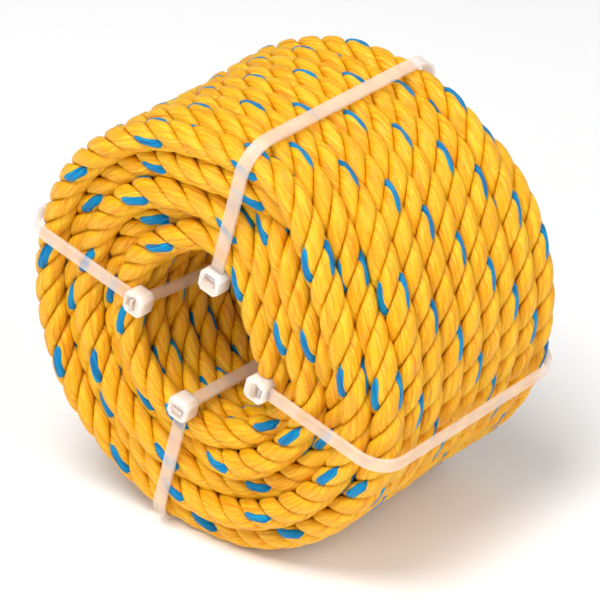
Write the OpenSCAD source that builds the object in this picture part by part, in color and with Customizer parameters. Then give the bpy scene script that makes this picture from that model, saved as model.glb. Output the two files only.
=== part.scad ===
// A hollow, barrel-wound coil of three-strand laid rope, lying on its side and held by
// four cable ties. Each tie is one nylon moulding, a strap with a ratchet head, that loops
// through the coil's bore and back over the outside. The tongue in each head, the pawl,
// flexes away from the strap's teeth, so it is a separate node that turns.
//
// Frame: +Z up, the coil's axis along Y, the tie heads on the front face towards -Y, and
// the origin below the middle of the coil on the surface that it lies on.

/* [Rope] */
// Diameter of the rope
rope_d = 8; // [7:0.5:9]
// Layers of rope between the bore and the outside
layers = 5; // [4:1:6]
// Turns of rope side by side in one layer
turns = 9; // [8:1:11]
// Distance between neighbouring turns, as a share of the rope's diameter
turn_pitch = 0.975; // [0.95:0.005:1]
// Distance between neighbouring layers, as a share of the rope's diameter
layer_pitch = 0.875; // [0.86:0.005:0.95]
// Radius of the open bore through the coil
bore_r = 22; // [20:0.5:26]

/* [Cable ties] */
// Width of a strap
strap_w = 3.6; // [3:0.1:4]
// Thickness of a strap with its teeth
strap_t = 1.1; // [0.9:0.05:1.2]
// Clear gap between a strap and the coil
strap_gap = 0.1; // [0.05:0.05:0.2]
// Direction of the first tie from +X towards +Z, in degrees
first_tie = -15.5; // [-20:0.5:-10]
// How far the cut end of a strap stands out of its head
cut_end = 0.5; // [0.2:0.1:2]

/* [Tie heads] */
// Width of a head, across its strap
head_w = 6.2; // [5.8:0.1:6.6]
// Size of a head along its own strap
head_l = 6; // [5.8:0.1:6.4]
// Height of a head, along the slot
head_h = 4.8; // [4.6:0.1:5.2]
// Distance of a head's slot inside the bore's wall
slot_in = 2.1; // [1.9:0.1:2.4]

/* [Hidden] */
$fn = 96;

// The coil's section: x is the distance from the axis and y runs along the axis
coil_r = bore_r + rope_d * (1 + (layers - 1) * layer_pitch);
half_len = rope_d * (1 + (turns - 1) * turn_pitch) / 2;
shoulder_r = 7;
mouth_r = 5;

// The strap's middle line, a fixed distance off the coil
strap_off = strap_gap + strap_t / 2;
face_y = half_len + strap_off;
strap_out_r = coil_r + strap_gap + strap_t;
arc_step = 11.25;

// A head: its slot, and the pocket that its pawl swings in
slot_r = bore_r - slot_in;
head_back = -face_y + 2.25;
head_front = head_back - head_h;
head_x = slot_r - head_l / 2;
slot_play = 0.12;
pocket_t = 1.75;
lip = 0.7;
tooth_pitch = 0.9;
tooth_h = 0.25;
toothed = 16;

// A pawl: its root, where the head's moulding bends, and its tongue
root_r = 0.35;
root_x = slot_r + strap_t / 2 + 1.2;
root_y = head_back - lip - root_r - 0.15;
tongue_l = 3.1;
tongue_t = 0.7;
tip_x = slot_r + strap_t / 2 + 0.17;
pawl_w = 2.8;
pocket_w = pawl_w + 2 * slot_play;

// The lowest strap's edge and the flattened rope both rest on the surface
axis_h = strap_out_r * cos(first_tie) - strap_w / 2 * sin(first_tie);

rope_yellow = [0.98, 0.69, 0.10];
nylon = [0.93, 0.89, 0.84];

// Points on an arc, each with the direction away from its centre
function arc(cx, cy, r, from, to) = [
    for (i = [0 : round(abs(to - from) / arc_step)])
        let (a = from + (to - from) * i / round(abs(to - from) / arc_step))
        [cx + r * cos(a), cy + r * sin(a), cos(a), sin(a)]
];

// From the head over the front face, along the outside, and over the back into the bore
strap_line = concat(
    [[slot_r + head_l / 2 - 0.5, -face_y, 0, -1]],
    arc(coil_r - shoulder_r, -half_len + shoulder_r, shoulder_r + strap_off, -90, 0),
    arc(coil_r - shoulder_r, half_len - shoulder_r, shoulder_r + strap_off, 0, 90),
    arc(bore_r + mouth_r, half_len - mouth_r, mouth_r + strap_off, 90, 180),
    [[slot_r, head_back + toothed - head_h, -1, 0], [slot_r, head_front - cut_end, -1, 0]]
);

// Half of a rounded ring's section, as squares and circles so that it stays exact
module coil_section() {
    shoulder_x = coil_r - shoulder_r;
    shoulder_y = half_len - shoulder_r;
    mouth_x = bore_r + mouth_r;
    mouth_y = half_len - mouth_r;
    translate([mouth_x, -half_len]) square([shoulder_x - mouth_x, 2 * half_len]);
    translate([bore_r, -mouth_y]) square([mouth_r, 2 * mouth_y]);
    translate([shoulder_x, -shoulder_y]) square([shoulder_r, 2 * shoulder_y]);
    for (s = [-1, 1]) {
        translate([shoulder_x, s * shoulder_y]) circle(shoulder_r);
        translate([mouth_x, s * mouth_y]) circle(mouth_r);
    }
}

// The whole wound rope as one solid of its outer shape, settled flat where it lies
module rope_coil() {
    color(rope_yellow)
    difference() {
        translate([0, 0, axis_h]) rotate([-90, 0, 0]) rotate_extrude() coil_section();
        translate([-coil_r, -half_len - 1, -coil_r]) cube([2 * coil_r, 2 * half_len + 2, coil_r]);
    }
}

// Puts a shape drawn with x outwards from the axis and z across the strap at its angle
module around(step) {
    translate([0, 0, axis_h]) rotate([0, -first_tie - 90 * step, 0]) children();
}

// The strap's own outline, a band of even thickness along its middle line
module strap_section() {
    last = len(strap_line) - 1;
    polygon(concat(
        [for (p = strap_line) [p[0] + p[2] * strap_t / 2, p[1] + p[3] * strap_t / 2]],
        [for (i = [last : -1 : 0])
            let (p = strap_line[i])
            [p[0] - p[2] * strap_t / 2, p[1] - p[3] * strap_t / 2]]
    ));
}

// Notches between the teeth, on the side of the strap that faces the coil
module tooth_gaps() {
    x = slot_r + strap_t / 2;
    for (y = [head_front - cut_end : tooth_pitch : head_front + toothed - tooth_pitch])
        translate([0, y])
            polygon([[x - tooth_h, 0.15], [x + 0.1, 0.15], [x + 0.1, tooth_pitch], [x, tooth_pitch]]);
}

// The head's outline with its chamfered corners, seen along the slot
module head_outline(cut = 1.1) {
    polygon([
        [head_x + cut, -head_w / 2], [head_x + head_l - cut, -head_w / 2],
        [head_x + head_l, -head_w / 2 + cut], [head_x + head_l, head_w / 2 - cut],
        [head_x + head_l - cut, head_w / 2], [head_x + cut, head_w / 2],
        [head_x, head_w / 2 - cut], [head_x, -head_w / 2 + cut]
    ]);
}

// The slot for the strap and, beside it, the pocket that the pawl swings in
module head_slot() {
    low = slot_r - strap_t / 2 - slot_play;
    slot_w = strap_w + 2 * slot_play;
    translate([low, head_front - 1, -slot_w / 2])
        cube([strap_t + 2 * slot_play, head_h + 2, slot_w]);
    translate([low, head_front - 1, -pocket_w / 2])
        cube([strap_t + slot_play + pocket_t, head_h - lip + 1, pocket_w]);
}

// One moulding: the strap round the coil, and the head that its own end passes through
module tie() {
    color(nylon) {
        difference() {
            translate([0, head_back, 0]) rotate([90, 0, 0]) linear_extrude(head_h) head_outline();
            head_slot();
        }
        translate([0, 0, -strap_w / 2]) linear_extrude(strap_w) difference() {
            strap_section();
            tooth_gaps();
        }
    }
}

// The tongue that holds the strap's teeth, on a round root
module pawl() {
    color(nylon) translate([0, 0, -pawl_w / 2]) union() {
        translate([root_x, root_y, 0]) cylinder(h = pawl_w, r = root_r);
        linear_extrude(pawl_w) polygon([
            [root_x - 0.8 * root_r, root_y], [root_x + 0.8 * root_r, root_y],
            [tip_x + tongue_t, root_y - tongue_l], [tip_x, root_y - tongue_l],
            [tip_x + 0.25, root_y - tongue_l + tooth_pitch]
        ]);
    }
}

module tie_right() { around(0) tie(); }
module tie_top() { around(1) tie(); }
module tie_left() { around(2) tie(); }
module tie_bottom() { around(3) tie(); }
module pawl_right() { around(0) pawl(); }
module pawl_top() { around(1) pawl(); }
module pawl_left() { around(2) pawl(); }
module pawl_bottom() { around(3) pawl(); }

rope_coil();
tie_right();
tie_top();
tie_left();
tie_bottom();
pawl_right();
pawl_top();
pawl_left();
pawl_bottom();
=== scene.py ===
import math
import bpy
import numpy as np
from mathutils import Matrix


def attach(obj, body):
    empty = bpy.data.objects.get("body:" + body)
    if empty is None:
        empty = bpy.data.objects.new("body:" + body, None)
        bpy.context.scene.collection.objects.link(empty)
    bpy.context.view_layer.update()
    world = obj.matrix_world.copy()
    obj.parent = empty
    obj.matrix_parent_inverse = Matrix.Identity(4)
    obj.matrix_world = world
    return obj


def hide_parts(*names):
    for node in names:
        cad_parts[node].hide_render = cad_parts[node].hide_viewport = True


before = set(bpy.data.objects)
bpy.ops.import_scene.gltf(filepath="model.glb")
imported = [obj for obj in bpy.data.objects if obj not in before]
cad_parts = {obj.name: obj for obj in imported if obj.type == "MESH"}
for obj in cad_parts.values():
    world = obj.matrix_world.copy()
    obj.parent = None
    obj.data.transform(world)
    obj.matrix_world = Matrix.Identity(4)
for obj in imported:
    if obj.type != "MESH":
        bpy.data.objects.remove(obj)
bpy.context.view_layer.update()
scene = bpy.context.scene
mm = 0.001

# the coil's own axis lies along Y at this height; sizes are in mm unless a name says otherwise
axisHeight = 57.528
coil = {
    "boreRadius": 22.0,
    "outerRadius": 58.0,
    "halfLength": 35.2,
    "shoulder": 7.0,
    "mouth": 5.0,
}
shot = {
    "azimuth": 39.1,
    "elevation": 27.7,
    "distance": 897.0,
    "across": -32.5,
    "right": 22.3,
    "up": 9.4,
    "lens": 222,
    "sensor": 36,
    "near": 20,
}


def viewAxes(azimuth, elevation):
    a, e = math.radians(azimuth), math.radians(elevation)
    back = np.array((math.sin(a) * math.cos(e), -math.cos(a) * math.cos(e), math.sin(e)))
    right = np.array((math.cos(a), math.sin(a), 0.0))
    return right, np.cross(back, right), back


def placeFacing(obj, spot, axes):
    right, up, back = axes
    rows = [[right[i], up[i], back[i], spot[i]] for i in range(3)]
    obj.matrix_world = Matrix(rows + [[0, 0, 0, 1]])


def addCamera():
    axes = viewAxes(shot["azimuth"], shot["elevation"])
    right, up, back = axes
    aim = np.array((0.0, shot["across"], axisHeight)) + shot["right"] * right + shot["up"] * up
    data = bpy.data.cameras.new("camera")
    data.lens = shot["lens"]
    data.sensor_width = shot["sensor"]
    data.clip_start = shot["near"] * mm
    obj = bpy.data.objects.new("camera", data)
    scene.collection.objects.link(obj)
    placeFacing(obj, (aim + shot["distance"] * back) * mm, axes)
    scene.camera = obj


addCamera()
print("camera placed")


def smooth(t):
    return t * t * (3 - 2 * t)


# the rope's middle line: how it is wound, and how it then settles
rope = {
    "diameter": 8.0,
    "layerRadii": (26, 33, 40, 47, 54),
    "halfLength": 31.2,
    "turnsPerLayer": 7.95,
    "turnsPerClimb": 0.95,
    "turnsAtEnds": 0.9,
    "firstAngle": 12,
    "looseSteps": 10,
    "looseRadii": (19, 23),
    "looseTurn": 1.5,
    "looseAcross": -7,
    "closest": 7.75,
    "step": 4.0,
    "rounds": 400,
}


def woundLine(r):
    # layers to and fro, with a climb to the next at each end and a plain turn first and last
    radius, angle, across = [], [], []
    turn, side = math.radians(r["firstAngle"]), -1

    def plainTurn(size):
        count = int(r["turnsAtEnds"] * 2 * math.pi * size / r["step"])
        radius.append(np.full(count, float(size)))
        angle.append(turn + np.arange(count) / count * r["turnsAtEnds"] * 2 * math.pi)
        across.append(np.full(count, side * r["halfLength"]))
        return turn + r["turnsAtEnds"] * 2 * math.pi

    # the inner end lies loose inside the bore and comes forward to the front rim
    t = np.arange(r["looseSteps"]) / r["looseSteps"]
    low, high = r["looseRadii"]
    radius.append(low + (high - low) * t)
    angle.append(turn - r["looseTurn"] * (1 - t))
    across.append(r["looseAcross"] - (r["halfLength"] + r["looseAcross"]) * smooth(t))
    turn = plainTurn(r["layerRadii"][0])
    for k, inner in enumerate(r["layerRadii"]):
        count = int(r["turnsPerLayer"] * 2 * math.pi * inner / r["step"])
        t = np.arange(count) / count
        radius.append(np.full(count, float(inner)))
        angle.append(turn + t * r["turnsPerLayer"] * 2 * math.pi)
        across.append(side * r["halfLength"] * (1 - 2 * t))
        turn += r["turnsPerLayer"] * 2 * math.pi
        side = -side
        if k + 1 < len(r["layerRadii"]):
            outer = r["layerRadii"][k + 1]
            count = int(r["turnsPerClimb"] * math.pi * (inner + outer) / r["step"])
            t = np.arange(count) / count
            radius.append(inner + (outer - inner) * smooth(np.clip((t - 0.25) / 0.5, 0, 1)))
            angle.append(turn + t * r["turnsPerClimb"] * 2 * math.pi)
            across.append(np.full(count, side * r["halfLength"]))
            turn += r["turnsPerClimb"] * 2 * math.pi
    plainTurn(r["layerRadii"][-1])
    radius, angle, across = map(np.concatenate, (radius, angle, across))
    return np.stack([radius * np.cos(angle), across, radius * np.sin(angle)], 1)


def evenly(points, step):
    run = np.linalg.norm(np.diff(points, axis=0), axis=1).cumsum()
    run = np.concatenate([[0], run])
    at = np.linspace(0, run[-1], int(round(run[-1] / step)) + 1)
    return np.stack([np.interp(at, run, points[:, i]) for i in range(3)], 1)


def closePairs(p, reach, skip):
    # points of different turns that are near enough to touch, found by sorting them into cubic cells
    span = 256
    cell = np.floor(p / reach).astype(int) + span // 4
    key = (cell[:, 0] * span + cell[:, 1]) * span + cell[:, 2]
    order = np.argsort(key, kind="stable")
    ordered = key[order]
    first, second = [], []
    for shift in range(27):
        other = key + ((shift // 9 - 1) * span + (shift // 3 % 3 - 1)) * span + shift % 3 - 1
        low = np.searchsorted(ordered, other, "left")
        high = np.searchsorted(ordered, other, "right")
        for q in range((high - low).max()):
            i = np.nonzero(low + q < high)[0]
            j = order[low[i] + q]
            first.append(i[j - i > skip])
            second.append(j[j - i > skip])
    i, j = np.concatenate(first), np.concatenate(second)
    near = ((p[i] - p[j]) ** 2).sum(1) < reach ** 2
    return i[near], j[near]


# the room for the rope's middle line, which is looser between the ties, a quarter turn apart
room = {
    "inner": 26.0,
    "outer": 53.9,
    "side": 31.2,
    "corner": 2.9,
    "floor": 4.2,
    "tieAngle": -15.5,
    "outerSlack": 0.8,
    "sideSlack": 1.5,
    "cornerSlack": 1.2,
    "droop": 5.5,
    "droopAngle": 30,
    "droopSpread": 26,
    "flat": 1.3,
    "flatAngle": 125,
    "flatSpread": 32,
    "looseEnd": 6.5,
    "firmness": 0.6,
    "cornerFirmness": 0.5,
}


def keepInside(p, pull):
    r = np.hypot(p[:, 0], p[:, 2])
    turn = np.degrees(np.arctan2(p[:, 2], p[:, 0]))
    slack = 1 - np.clip(np.abs(((turn - room["tieAngle"]) % 90) - 45) / 45, 0, 1) ** 2
    y = np.abs(p[:, 1])
    # one inner turn hangs into the mouth of the bore, and the loose end lies inside it
    droop = room["droop"] * np.exp(-((turn - room["droopAngle"]) / room["droopSpread"]) ** 2)
    droop *= np.clip((-p[:, 1] - 22) / 8, 0, 1)
    inner = room["inner"] - droop - room["looseEnd"] * np.clip(1.6 - np.arange(len(p)) / 9, 0, 1)
    tighten = (pull + 0.3 * droop * pull) * np.clip((r - inner) / 6, 0, 1)
    inward = np.where(r < inner, inner - r, -tighten)
    flat = room["flat"] * np.exp(-((turn - room["flatAngle"]) / room["flatSpread"]) ** 2)
    outer = room["outer"] + room["outerSlack"] * slack - flat
    inward -= room["firmness"] * np.clip(r + inward - outer, 0, None)
    side = np.clip(y - room["side"] - room["sideSlack"] * slack, 0, None) * room["firmness"]
    fromX = np.clip(r - (coil["outerRadius"] - coil["shoulder"]), 0, None)
    fromY = np.clip(y - (coil["halfLength"] - coil["shoulder"]), 0, None)
    far = np.hypot(fromX, fromY)
    over = np.clip(far - room["corner"] - room["cornerSlack"] * slack, 0, None)
    over *= (fromX > 0) * (fromY > 0) / np.maximum(far, 1e-6)
    inward -= room["cornerFirmness"] * over * fromX
    side = np.maximum(side, room["cornerFirmness"] * over * fromY)
    p[:, 0] += inward * p[:, 0] / r
    p[:, 2] += inward * p[:, 2] / r
    p[:, 1] -= np.sign(p[:, 1]) * side
    p[:, 2] = np.maximum(p[:, 2], room["floor"] - axisHeight)


def settle(p, r):
    # turns push each other apart until none overlap, while the whole is drawn in and kept smooth
    even = np.linalg.norm(np.diff(p, axis=0), axis=1).mean()
    for k in range(r["rounds"]):
        if k % 15 == 0:
            i, j = closePairs(p, r["diameter"] * 1.25, int(2.2 * r["diameter"] / r["step"]))
        apart = p[j] - p[i]
        gap = np.linalg.norm(apart, axis=1)
        near = gap < r["closest"]
        push = apart[near] * (0.5 * (r["closest"] / gap[near] - 1))[:, None]
        move, count = np.zeros_like(p), np.zeros(len(p))
        for ends, way in ((i[near], -1), (j[near], 1)):
            np.add.at(move, ends, way * push)
            np.add.at(count, ends, 1)
        p += 1.2 * move / np.maximum(count, 1)[:, None]
        keepInside(p, 0.05 * (1 - k / r["rounds"]))
        bend = (p[:-2] + p[2:]) / 2 - p[1:-1]
        bend[1:-1] -= 0.5 * (bend[:-2] + bend[2:])
        p[1:-1] += 0.5 * bend
        link = np.diff(p, axis=0)
        size = np.linalg.norm(link, axis=1)
        link *= ((size - even) / size * 0.25)[:, None]
        p[:-1] += link
        p[1:] -= link
    return p


def splineThrough(points, at):
    # uniform cubic B-spline: position and direction at each value of at, counted in points
    padded = np.concatenate([[2 * points[0] - points[1]], points, [2 * points[-1] - points[-2]]])
    base = np.clip(np.floor(at).astype(int), 0, len(points) - 2)
    t = (at - base)[:, None]
    a, b, c, d = (padded[base + k] for k in range(4))
    place = (1 - t) ** 3 * a + (3 * t ** 3 - 6 * t ** 2 + 4) * b
    place = (place + (-3 * t ** 3 + 3 * t ** 2 + 3 * t + 1) * c + t ** 3 * d) / 6
    way = -(1 - t) ** 2 * a + (3 * t ** 2 - 4 * t) * b + (-3 * t ** 2 + 2 * t + 1) * c + t ** 2 * d
    return place, way / np.linalg.norm(way, axis=1)[:, None]


detail = {
    "outsideFrom": 48.5,
    "boreTo": 31.0,
    "facesFrom": 22.0,
    "fineStep": 1.25,
    "coarseStep": 3.0,
    "spread": 9,
}


def ringsAlong(points, r):
    # rings are close together where the rope shows and further apart inside the winding
    radius = np.hypot(points[:, 0], points[:, 2])
    shows = (radius > detail["outsideFrom"]) | (radius < detail["boreTo"])
    shows |= np.abs(points[:, 1]) > detail["facesFrom"]
    shows = np.convolve(shows, np.ones(detail["spread"]), "same") > 0
    density = r["step"] / np.where(shows, detail["fineStep"], detail["coarseStep"])
    count = np.concatenate([[0], (density[1:] + density[:-1]).cumsum() / 2])
    at = np.interp(np.linspace(0, count[-1], int(count[-1]) + 1), count, np.arange(len(points)))
    place, way = splineThrough(points, at)
    run = np.concatenate([[0], np.linalg.norm(np.diff(place, axis=0), axis=1).cumsum()])
    outward = place * (1, 0, 1)
    outward -= way * (outward * way).sum(1)[:, None]
    outward /= np.linalg.norm(outward, axis=1)[:, None]
    return {"place": place, "run": run, "out": outward, "side": np.cross(way, outward)}


rings = ringsAlong(settle(evenly(woundLine(rope), rope["step"]), rope), rope)
ropeLength = float(rings["run"][-1])


def layFromTurns(flecksPerTurn, laysPerFleck, turns=6):
    # measured on the outer turns, so that flecks of neighbouring turns stand a third of their spacing apart
    swept = np.unwrap(np.arctan2(rings["place"][:, 2], rings["place"][:, 0]))
    ends = swept[-1] - np.array((turns + 1, 1)) * 2 * math.pi
    first, last = np.interp(ends, swept, rings["run"])
    return (last - first) / turns / flecksPerTurn / laysPerFleck


laysPerFleck = 4 / 3
lay = layFromTurns(11.32, laysPerFleck)
print("rope laid", round(ropeLength), "mm in", len(rings["run"]), "rings, lay", round(lay, 2))


def makeMesh(name, verts, quads, caps=(), maps=None):
    # quads is an array, caps a list of larger faces, and maps gives a pair per corner for each layer name
    data = bpy.data.meshes.new(name)
    sizes = np.array([4] * len(quads) + [len(c) for c in caps])
    corners = np.concatenate([quads.ravel()] + [np.array(c) for c in caps])
    data.vertices.add(len(verts))
    data.vertices.foreach_set("co", np.asarray(verts, np.float32).ravel())
    data.loops.add(len(corners))
    data.loops.foreach_set("vertex_index", corners.astype(np.int32))
    data.polygons.add(len(sizes))
    data.polygons.foreach_set("loop_start", (np.cumsum(sizes) - sizes).astype(np.int32))
    data.polygons.foreach_set("loop_total", sizes.astype(np.int32))
    data.polygons.foreach_set("use_smooth", np.ones(len(sizes), bool))
    for layer, values in (maps or {}).items():
        data.uv_layers.new(name=layer).data.foreach_set("uv", np.asarray(values, np.float32).ravel())
    data.update(calc_edges=True)
    data.validate()
    obj = bpy.data.objects.new(name, data)
    scene.collection.objects.link(obj)
    return obj


def gridFaces(rows, columns, closeRows=False):
    i = np.arange(rows if closeRows else rows - 1)[:, None]
    k = np.arange(columns)[None, :]
    i2, k2 = (i + 1) % rows, (k + 1) % columns
    corners = [i * columns + k, i * columns + k2, i2 * columns + k2, i2 * columns + k]
    return np.stack(corners, 2).reshape(-1, 4)


def tubeCaps(rows, columns):
    last = (rows - 1) * columns
    return [list(range(columns))[::-1], list(range(last, last + columns))]


def tubeMaps(run, around, girth, rows=28, margin=0.004, gap=0.06):
    # "lay" is true to scale, in cm along and around; "OFBake" folds the tube into rows that fill the square
    i = np.repeat(np.arange(len(run) - 1), around)
    k = np.tile(np.arange(around), len(run) - 1)
    alongI = np.stack([i, i, i + 1, i + 1], 1)
    acrossK = np.stack([k, k + 1, k + 1, k], 1)
    scaled = np.stack([run[alongI], acrossK / around * girth], 2) * 0.1
    perRow = math.ceil((len(run) - 1) / rows)
    row = (i // perRow)[:, None]
    u = margin + (1 - 2 * margin) * (alongI - row * perRow) / perRow
    v = (row + gap + (1 - 2 * gap) * acrossK / around) / rows
    return {"lay": scaled.reshape(-1, 2), "OFBake": np.stack([u, v], 2).reshape(-1, 2)}


# a laid strand; sizes in its section are shares of the rope's diameter
strand = {
    "tall": 0.232,
    "wide": 0.33,
    "squareness": 11,
    "middle": 0.268,
    "yarns": 6,
    "pointsPerYarn": 5,
    "groove": 0.009,
    "yarnTurns": 1.5,
    "tilt": math.radians(21),
    "taper": 2.2,
    "girth": 13.8,
}


def outline(psi, d):
    # a strand's section about its own middle: an oval, pressed flat where it meets its two neighbours
    tall, wide, power = strand["tall"] * d, strand["wide"] * d, strand["squareness"]
    oval = tall * wide / np.sqrt((wide * np.cos(psi)) ** 2 + (tall * np.sin(psi)) ** 2)
    facing = np.abs(np.sin(psi)) * math.sin(math.pi / 6) - np.cos(psi) * math.cos(math.pi / 6)
    inverse = np.clip(facing, 0, None) / tall
    return (oval ** -float(power) + inverse ** power) ** (-1 / power)


def strandRings(j, offsets, rise):
    # points of strand j's rings: offsets are angles that turn with its yarns, rise is added to its outline
    d = rope["diameter"]
    run = rings["run"][:, None]
    phi = 2 * math.pi * (run / lay + j / 3) + strand["tilt"]
    psi = offsets - 2 * math.pi * run / lay * strand["yarnTurns"]
    # the fused ends are rounded off
    near = np.minimum(np.minimum(run, ropeLength - run) / strand["taper"], 1)
    shrink = np.sqrt(np.clip(1 - (1 - near) ** 2, 0.02, 1))
    uneven = 0.07 * np.sin(run / 4.7 + 2.1 * j + psi) + 0.06 * np.sin(run / 1.9 - 1.3 * j + 2 * psi)
    rho = (outline(psi, d) + rise + uneven) * shrink
    middle = strand["middle"] * d * (0.55 + 0.45 * shrink)
    outBy = middle * np.cos(phi) + rho * np.cos(phi + psi)
    sideBy = middle * np.sin(phi) + rho * np.sin(phi + psi)
    points = rings["place"][:, None, :] + outBy[..., None] * rings["out"][:, None, :]
    points = points + sideBy[..., None] * rings["side"][:, None, :]
    return (points + (0, 0, axisHeight)) * mm


def closedTube(name, points, girth):
    count, around = points.shape[:2]
    maps = tubeMaps(rings["run"], around, girth)
    # both caps share the margin's corner
    maps = {k: np.concatenate([v, np.full((2 * around, 2), 0.002)]) for k, v in maps.items()}
    return makeMesh(name, points.reshape(-1, 3), gridFaces(count, around), tubeCaps(count, around), maps)


def addStrand(j, name):
    n = strand["yarns"] * strand["pointsPerYarn"]
    k = np.arange(n)
    start = -math.pi / strand["yarns"]
    depth = strand["groove"] * rope["diameter"]
    dip = np.choose(k % strand["pointsPerYarn"], (1.0, 0.22, 0, 0, 0.22)) * depth
    points = strandRings(j, (start + 2 * math.pi * k / n)[None, :], -dip[None, :])
    return closedTube(name, points, strand["girth"])


# the coloured yarn's section, as shares of a yarn's width and as height in mm, and how it sinks, in lays
tracer = {
    "across": (-0.5, -0.36, -0.12, 0.12, 0.36, 0.5, 0.3, -0.3),
    "rise": (-0.1, 0.07, 0.1, 0.1, 0.07, -0.1, -0.6, -0.6),
    "widest": 1.3,
    "narrowsBy": 1.0,
    "narrowsOver": 0.3,
    "sinksFrom": 0.17,
    "sinksOver": 0.2,
    "depth": 0.95,
    "girth": 6.0,
}


def addTracer(j, name):
    # it lies in the strand's skin for one pass in every laysPerFleck lays, and in the core between
    run = rings["run"]
    half = laysPerFleck / 2
    away = np.abs((run / lay + half) % laysPerFleck - half)
    sunk = smooth(np.clip((away - tracer["sinksFrom"]) / tracer["sinksOver"], 0, 1))
    width = tracer["widest"] - tracer["narrowsBy"] * np.clip(away / tracer["narrowsOver"], 0, 1) ** 2
    width += 0.13 * np.sin(run / 37 + 2 * j) + 0.08 * np.sin(run / 11.3 + j)
    offsets = 2 * math.pi / strand["yarns"] * np.array(tracer["across"])[None, :] * width[:, None]
    rise = np.array(tracer["rise"])[None, :] - tracer["depth"] * sunk[:, None]
    return closedTube(name, strandRings(j, offsets, rise), tracer["girth"])


strands = [addStrand(j, "ropeStrand" + "ABC"[j]) for j in range(3)]
tracers = [addTracer(j, "tracerYarn" + "ABC"[j]) for j in range(3)]
ropePath = (rings["place"] + (0, 0, axisHeight)) * mm
for piece in strands + tracers:
    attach(piece, "tied_coil")
    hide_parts("rope_coil")
print("rope meshed")

strap = {
    "thick": 1.1,
    "width": 3.6,
    "gap": 0.1,
    "edge": 0.25,
    "recess": 0.06,
    "recessHalf": 1.05,
    "recessSlope": 0.18,
    "toothDepth": 0.25,
    "toothPitch": 0.9,
    "toothHalf": 1.25,
    "toothSlope": 0.05,
    "toothedLength": 16.0,
    "cutEnd": -38.9,
}
head = {
    "middle": 19.9,
    "front": -38.4,
    "back": -33.6,
    "halfX": 3.0,
    "halfZ": 3.1,
    "corner": 1.1,
    "lip": 0.7,
    "slotX": (-0.67, 0.67),
    "slotHalfZ": 1.92,
    "pocketX": (-0.67, 2.25),
    "pocketHalfZ": 1.52,
}
# each tie's direction from +X towards +Z in degrees, and how far its strap strays sideways in the bore
places = {"right": (-15.5, 0.6), "top": (74.5, -0.5), "left": (164.5, 3.2), "bottom": (254.5, 0.3)}


def arcPoints(middle, radius, start, end, steps=20):
    a = np.radians(np.linspace(start, end, steps))
    return np.stack([middle[0] + radius * np.cos(a), middle[1] + radius * np.sin(a)], 1)


def straightPoints(a, b, step):
    count = max(2, int(math.dist(a, b) / step))
    t = np.linspace(0, 1, count + 1)[1:-1, None]
    return np.array(a) * (1 - t) + np.array(b) * t


def tieCourse():
    # the strap's middle line: from the head over the front face, round the coil, back through bore and slot
    off = strap["gap"] + strap["thick"] / 2
    shoulder, mouth = coil["shoulder"], coil["mouth"]
    outerX, outerY = coil["outerRadius"] - shoulder, coil["halfLength"] - shoulder
    innerX, innerY = coil["boreRadius"] + mouth, coil["halfLength"] - mouth
    start = (head["middle"] + head["halfX"] - 0.5, -coil["halfLength"] - off)
    toothed = (head["middle"], strap["cutEnd"] + strap["toothedLength"] + 0.5)
    end = (head["middle"], strap["cutEnd"])
    front = arcPoints((outerX, -outerY), shoulder + off, -90, 0)
    back = arcPoints((outerX, outerY), shoulder + off, 0, 90)
    bore = arcPoints((innerX, innerY), mouth + off, 90, 180)
    course = [[start], straightPoints(start, front[0], 2), front, straightPoints(front[-1], back[0], 2)]
    course += [back, straightPoints(back[-1], bore[0], 2), bore, straightPoints(bore[-1], toothed, 1)]
    course += [[toothed], straightPoints(toothed, end, 0.15), [end]]
    return np.concatenate([np.array(c, float) for c in course])


def strapProfile(tooth):
    # (outward, across) pairs: the moulded recess is on the outer face, the ratchet band on the inner one
    h, w, c = strap["thick"] / 2, strap["width"] / 2, strap["edge"]
    r, b = strap["recessHalf"], strap["toothHalf"]
    sunk, outside, beside = h - strap["recess"], r + strap["recessSlope"], b + strap["toothSlope"]
    pairs = [(h, -w + c), (h, -outside), (sunk, -r), (sunk, 0), (sunk, r), (h, outside), (h, w - c)]
    for a in (30, 60, 90):
        pairs.append((h - c + c * math.cos(math.radians(a)), w - c + c * math.sin(math.radians(a))))
    for a in (0, 30, 60, 90):
        pairs.append((-h + c - c * math.sin(math.radians(a)), w - c + c * math.cos(math.radians(a))))
    pairs += [(-h, beside), (tooth - h, b), (tooth - h, 0), (tooth - h, -b), (-h, -beside), (-h, -w + c)]
    for a in (30, 60, 90):
        pairs.append((-h + c - c * math.cos(math.radians(a)), -w + c - c * math.sin(math.radians(a))))
    for a in (0, 30, 60):
        pairs.append((h - c + c * math.sin(math.radians(a)), -w + c - c * math.cos(math.radians(a))))
    return np.array(pairs)


def turned(points, angle):
    # from a tie's own frame (radius, along the axis, across the strap) to the coil
    a = math.radians(angle)
    x, y, z = points[..., 0], points[..., 1], points[..., 2]
    world = np.stack([x * math.cos(a) - z * math.sin(a), y, x * math.sin(a) + z * math.cos(a)], -1)
    return (world + (0, 0, axisHeight)) * mm


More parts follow.
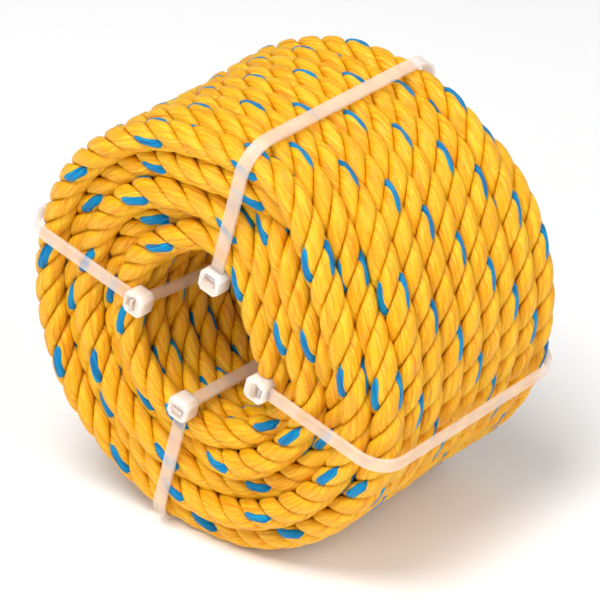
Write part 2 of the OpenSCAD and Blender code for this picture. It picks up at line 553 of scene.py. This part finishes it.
def strapPart(angle, stray):
    course = tieCourse()
    step = np.gradient(course, axis=0)
    step /= np.linalg.norm(step, axis=1)[:, None]
    normal = np.stack([step[:, 1], -step[:, 0]], 1)
    run = np.concatenate([[0], np.linalg.norm(np.diff(course, axis=0), axis=1).cumsum()])
    left = run[-1] - run
    saw = (left / strap["toothPitch"]) % 1
    depth = strap["toothDepth"] * np.clip(1.25 - 1.5 * saw, 0, 1)
    depth *= (left < strap["toothedLength"]) * (left > 0.3)
    # in the bore the strap bows sideways between the head and the coil's back edge
    low, high = -34, 32
    inBore = (course[:, 0] < coil["boreRadius"] + coil["mouth"]) & (course[:, 1] > low)
    along = np.clip((course[:, 1] - low) / (high - low), 0, 1)
    drift = np.where(inBore, stray * np.sin(along * math.pi), 0)
    rows = []
    for k in range(len(course)):
        pairs = strapProfile(depth[k])
        flat = course[k] + pairs[:, :1] * normal[k]
        rows.append(np.column_stack([flat, pairs[:, 1] + drift[k]]))
    return turned(np.array(rows), angle)


def rayTo(boxX, boxZ, cut, a):
    # distance from the middle to the edge of a box with cut corners; boxX holds its low and high side
    c, s = np.cos(a), np.sin(a)
    reachX = np.where(c > 0, boxX[1], -boxX[0]) / np.maximum(np.abs(c), 1e-6)
    reachZ = boxZ / np.maximum(np.abs(s), 1e-6)
    corner = (np.where(c > 0, boxX[1], -boxX[0]) + boxZ - cut) / (np.abs(c) + np.abs(s))
    return np.minimum(np.minimum(reachX, reachZ), corner)


def headPart(angle):
    # the moulded head as one closed skin: round its outside, and back through the slot and the pocket
    front, back, ledge = head["front"], head["back"], head["back"] - head["lip"]
    halfX, halfZ, cut = head["halfX"], head["halfZ"], head["corner"]
    slot, pocket = (head["slotX"], head["slotHalfZ"]), (head["pocketX"], head["pocketHalfZ"])
    corners = [(slot[0][1], slot[1]), (slot[0][1], pocket[1]), (pocket[0][1], pocket[1])]
    corners += [(halfX, halfZ - cut), (halfX - cut, halfZ)]
    quarter = [math.atan2(z, x) for x, z in corners] + list(np.linspace(0.05, 1.52, 9))
    mirrored = ((1, 0), (-1, math.pi), (1, math.pi), (-1, 2 * math.pi))
    a = np.array(sorted({round(s * b + t, 5) for b in quarter for s, t in mirrored}))
    rows = []
    for inset, y in ((0.42, front), (0.16, front + 0.1), (0, front + 0.38),
                     (0, back - 0.38), (0.12, back - 0.1), (0.35, back)):
        rho = rayTo((inset - halfX, halfX - inset), halfZ - inset, cut - 0.4 * inset, a)
        rows.append((rho, y))
    for holes, grow, y in (((slot,), 0.12, back), ((slot,), 0, back - 0.15), ((slot,), 0, ledge),
                           ((slot, pocket), 0, ledge), ((slot, pocket), 0, front + 0.2),
                           ((slot, pocket), 0.1, front)):
        reach = [rayTo((x[0] - grow, x[1] + grow), z + grow, 0, a) for x, z in holes]
        rows.append((np.max(reach, axis=0), y))
    grid = [np.stack([head["middle"] + rho * np.cos(a), np.full(len(a), y), rho * np.sin(a)], 1)
            for rho, y in rows]
    return turned(np.array(grid), angle)


def addTie(side):
    angle, stray = places[side]
    strapGrid, headGrid = strapPart(angle, stray), headPart(angle)
    count, around = strapGrid.shape[:2]
    quads = gridFaces(count, around)
    headQuads = gridFaces(*headGrid.shape[:2], closeRows=True) + count * around
    verts = np.concatenate([strapGrid.reshape(-1, 3), headGrid.reshape(-1, 3)])
    faces = np.concatenate([quads, headQuads])[:, ::-1]
    caps = [c[::-1] for c in tubeCaps(count, around)]
    obj = makeMesh(side + "Tie", verts, faces, caps)
    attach(obj, "tied_coil")
    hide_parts("tie_" + side)
    # the head's faces lie between the strap's and the strap's two caps
    index = np.zeros(len(obj.data.polygons), np.int32)
    index[len(quads):len(faces)] = 1
    obj.data.polygons.foreach_set("material_index", index)
    return obj


pawl = {
    "root": (21.65, -34.8),
    "rootRadius": 0.35,
    "tipX": (20.62, 21.32),
    "tipY": -37.85,
    "halfWidth": 1.4,
    "edge": 0.08,
    "notches": (0.45, 0.67, 0.89),
    "notchDepth": 0.17,
    "notchSlope": 0.04,
}


def pawlOutline():
    # the tongue in side view: round root, straight back, three ratchet teeth towards the strap
    points = list(arcPoints(pawl["root"], pawl["rootRadius"], 0, 180, 9))
    (nearX, farX), tipY = pawl["tipX"], pawl["tipY"]
    start, end = points[-1], np.array((nearX, tipY))
    for t in pawl["notches"]:
        at = start + (end - start) * t
        points += [at, at + (pawl["notchDepth"], -pawl["notchSlope"])]
    points += [(nearX, tipY), (nearX + 0.12, tipY - 0.06), (farX - 0.08, tipY - 0.06), (farX, tipY + 0.05)]
    return np.array(points)


def addPawl(side):
    flat = pawlOutline()
    middle = flat.mean(0)
    half, edge = pawl["halfWidth"], pawl["edge"]
    rows = []
    for z, size in ((-half, 1 - 2 * edge), (edge - half, 1), (0, 1), (half - edge, 1), (half, 1 - 2 * edge)):
        rows.append(np.column_stack([middle + (flat - middle) * size, np.full(len(flat), z)]))
    points = turned(np.array(rows), places[side][0])
    quads = gridFaces(len(rows), len(flat))
    obj = makeMesh(side + "Pawl", points.reshape(-1, 3), quads, tubeCaps(len(rows), len(flat)))
    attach(obj, side + "_pawl")
    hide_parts("pawl_" + side)
    return obj


ties = [addTie(side) for side in places]
pawls = [addPawl(side) for side in places]
print("ties made")


class Wire:
    # a socket that can be used in sums
    def __init__(self, shade, socket):
        self.shade, self.socket = shade, socket

    def sum(self, operation, a, b):
        return self.shade.node("ShaderNodeMath", {"operation": operation}, {0: a, 1: b})

    def __add__(self, other):
        return self.sum("ADD", self, other)

    def __radd__(self, other):
        return self.sum("ADD", other, self)

    def __sub__(self, other):
        return self.sum("SUBTRACT", self, other)

    def __rsub__(self, other):
        return self.sum("SUBTRACT", other, self)

    def __mul__(self, other):
        return self.sum("MULTIPLY", self, other)

    def __rmul__(self, other):
        return self.sum("MULTIPLY", other, self)

    def __truediv__(self, other):
        return self.sum("DIVIDE", self, other)

    def __rtruediv__(self, other):
        return self.sum("DIVIDE", other, self)

    def floor(self):
        return self.sum("FLOOR", self, 0.0)

    def part(self):
        return self.sum("FRACT", self, 0.0)

    def size(self):
        return self.sum("ABSOLUTE", self, 0.0)

    def between(self, low, high):
        # 0 at low and 1 at high, eased
        return self.shade.node("ShaderNodeMapRange", {"interpolation_type": "SMOOTHSTEP"}, {
            "Value": self, "From Min": low, "From Max": high, "To Min": 0.0, "To Max": 1.0})


class Shade:
    # a material under construction
    def __init__(self, name):
        self.material = bpy.data.materials.new(name)
        self.material.use_nodes = True
        self.tree = self.material.node_tree
        self.tree.nodes.clear()

    def node(self, kind, settings=None, inputs=None, output=0):
        made = self.tree.nodes.new(kind)
        for key, value in (settings or {}).items():
            setattr(made, key, value)
        for key, value in (inputs or {}).items():
            if isinstance(value, Wire):
                self.tree.links.new(value.socket, made.inputs[key])
            else:
                made.inputs[key].default_value = value
        return Wire(self, made.outputs[output]) if len(made.outputs) else None

    def noise(self, vector, scale, detail=2.0, rough=0.5):
        return self.node("ShaderNodeTexNoise", {}, {
            "Vector": vector, "Scale": scale, "Detail": detail, "Roughness": rough})

    def vector(self, x, y, z):
        return self.node("ShaderNodeCombineXYZ", {}, {0: x, 1: y, 2: z})

    def mix(self, factor, a, b):
        return self.node("ShaderNodeMix", {"data_type": "RGBA"}, {"Factor": factor, 6: a, 7: b}, 2)

    def bump(self, height, strength, distance):
        return self.node("ShaderNodeBump", {}, {"Height": height, "Strength": strength, "Distance": distance})

    def finish(self, inputs):
        skin = self.node("ShaderNodeBsdfPrincipled", {}, inputs)
        self.node("ShaderNodeOutputMaterial", {}, {"Surface": skin})
        return self.material


def colour(r, g, b):
    # a screen colour, 0 to 255, as the renderer's linear one
    return tuple(x / 3294.6 if x <= 10.3 else ((x / 255 + 0.055) / 1.055) ** 2.4 for x in (r, g, b)) + (1.0,)


def yarnMaterial(look):
    s = Shade(look["name"])
    place = s.node("ShaderNodeUVMap", {"uv_map": "lay"})
    along = s.node("ShaderNodeSeparateXYZ", {}, {0: place}, 0)
    across = s.node("ShaderNodeSeparateXYZ", {}, {0: place}, 1)
    yarnAt = across * (strand["yarns"] / (0.1 * strand["girth"]))
    yarnId = yarnAt.floor()
    # edge marks the borders between yarns, where the grooves lie, for the painted groove shade below
    edge = (yarnAt.part() - 0.5).size().between(0.38, 0.5)
    # fibres cross the yarn at a slant, so that they lie nearly along the rope
    strip = across + along * 0.2
    broad = s.noise(s.vector(along * 0.35, strip * 13, yarnId * 4.7), 1.0, 2.0)
    coarse = s.noise(s.vector(along * 0.4, strip * 32, yarnId * 7.3), 1.0, 2.0)
    fine = s.noise(s.vector(along * 0.8, strip * 80, yarnId * 5.1), 1.0, 2.0)
    slow = s.noise(s.vector(along * 0.8, yarnId * 3.7, 0.0), 1.0, 2.0)
    fibre = broad * 0.4 + coarse * 0.35 + fine * 0.25
    base = s.mix(fibre.between(0.38, 0.6), look["shade"], look["light"])
    base = s.mix(slow.between(0.4, 0.75) * 0.6, base, look["pale"])
    # the groove colour also gives darker streaks at random, which are the yarn's own tone
    base = s.mix(broad.between(0.4, 0.26) * 0.6, base, look["groove"])
    # painted shade: the groove colour darkens each yarn's edges, in the grooves between yarns
    base = s.mix(edge * 0.22, base, look["groove"])
    base = s.mix(coarse.between(0.55, 0.68) * 0.5, base, look["glint"])
    where = s.node("ShaderNodeTexCoord", {}, {}, 3)
    grime = s.noise(where, 55.0, 3.0, 0.6).between(0.69, 0.78) * look["grime"]
    base = s.mix(grime, base, look["dirt"])
    return s.finish({
        "Base Color": base,
        "Roughness": 0.2 + fibre * 0.24,
        "Specular IOR Level": look["shine"],
        "Subsurface Weight": 0.45,
        "Subsurface Radius": look["bleed"],
        "Subsurface Scale": 0.002,
        "Normal": s.bump(fibre, 1.0, 0.0007),
    })


yellow = yarnMaterial({
    "name": "yellowYarn",
    "shade": colour(232, 152, 2),
    "light": colour(246, 186, 8),
    "pale": colour(250, 202, 36),
    # groove: painted shade in the yarn grooves, and also random darker streaks
    "groove": colour(214, 122, 2),
    "glint": colour(255, 216, 72),
    "shine": 0.4,
    "bleed": (1.0, 0.42, 0.05),
    "dirt": colour(140, 120, 90),
    "grime": 0.3,
})
blue = yarnMaterial({
    "name": "blueYarn",
    "shade": colour(0, 96, 152),
    "light": colour(0, 140, 200),
    "pale": colour(0, 158, 214),
    "glint": colour(40, 182, 230),
    "shine": 0.15,
    "bleed": (0.1, 0.5, 1.0),
    # groove: painted shade in the yarn grooves, and also random darker streaks
    "groove": colour(0, 66, 122),
    "dirt": colour(90, 100, 110),
    "grime": 0.2,
})


def nylonMaterial(look):
    s = Shade(look["name"])
    where = s.node("ShaderNodeTexCoord", {}, {}, 3)
    cloud = s.noise(where, 160.0, 2.0)
    grain = s.noise(where, 2600.0, 2.0)
    base = s.mix(cloud.between(0.35, 0.7), look["base"], look["milk"])
    return s.finish({
        "Base Color": base,
        "Roughness": 0.26 + cloud * 0.12,
        "IOR": 1.53,
        "Alpha": look["solid"],
        "Subsurface Weight": look["scatter"],
        "Subsurface Radius": (1.0, 0.85, 0.6),
        "Subsurface Scale": look["depth"],
        "Normal": s.bump(cloud * 0.8 + grain * 0.2, 0.12, 0.0002),
    })


# a strap is thin enough to show the rope's colour through it, and a head is milky
strapNylon = nylonMaterial({
    "name": "strapNylon",
    "base": colour(248, 222, 202),
    "milk": colour(250, 232, 218),
    "solid": 0.42,
    "scatter": 0.4,
    "depth": 0.0018,
})
headNylon = nylonMaterial({
    "name": "headNylon",
    "base": colour(246, 220, 206),
    "milk": colour(250, 232, 222),
    "solid": 0.9,
    "scatter": 1.0,
    "depth": 0.0035,
})

for piece in strands:
    piece.data.materials.append(yellow)
for piece in tracers:
    piece.data.materials.append(blue)
for piece in ties:
    piece.data.materials.append(strapNylon)
    piece.data.materials.append(headNylon)
for piece in pawls:
    piece.data.materials.append(headNylon)
print("materials made")

# the studio, in metres and watts
studio = {
    "floorHalf": 6.0,
    "floorTone": 0.96,
    "aimHeight": 0.05,
    "skyStrength": 0.31,
}


def addFloor():
    tone, half = studio["floorTone"], studio["floorHalf"]
    s = Shade("paleFloor")
    material = s.finish({"Base Color": (tone, tone, tone, 1.0), "Roughness": 0.9, "Specular IOR Level": 0.1})
    verts = [(-half, -half, 0), (half, -half, 0), (half, half, 0), (-half, half, 0)]
    obj = makeMesh("floor", verts, np.array([[0, 1, 2, 3]]))
    obj.data.materials.append(material)


def addPanel(name, azimuth, elevation, distance, size, power):
    data = bpy.data.lights.new(name, "AREA")
    data.shape = "DISK"
    data.size = size
    data.energy = power
    obj = bpy.data.objects.new(name, data)
    scene.collection.objects.link(obj)
    axes = viewAxes(azimuth, elevation)
    placeFacing(obj, np.array((0, 0, studio["aimHeight"])) + distance * axes[2], axes)


def addSky():
    world = bpy.data.worlds.new("studio")
    world.use_nodes = True
    background = world.node_tree.nodes["Background"]
    background.inputs["Color"].default_value = (1, 1, 1, 1)
    background.inputs["Strength"].default_value = studio["skyStrength"]
    scene.world = world
    scene.view_settings.view_transform = "Standard"


addFloor()
addPanel("keyPanel", azimuth=0, elevation=66, distance=1.2, size=0.7, power=12)
addPanel("sidePanel", azimuth=90, elevation=38, distance=1.2, size=0.6, power=5)
addPanel("frontPanel", azimuth=15, elevation=24, distance=1.4, size=0.8, power=5.5)
addSky()
print("lit")
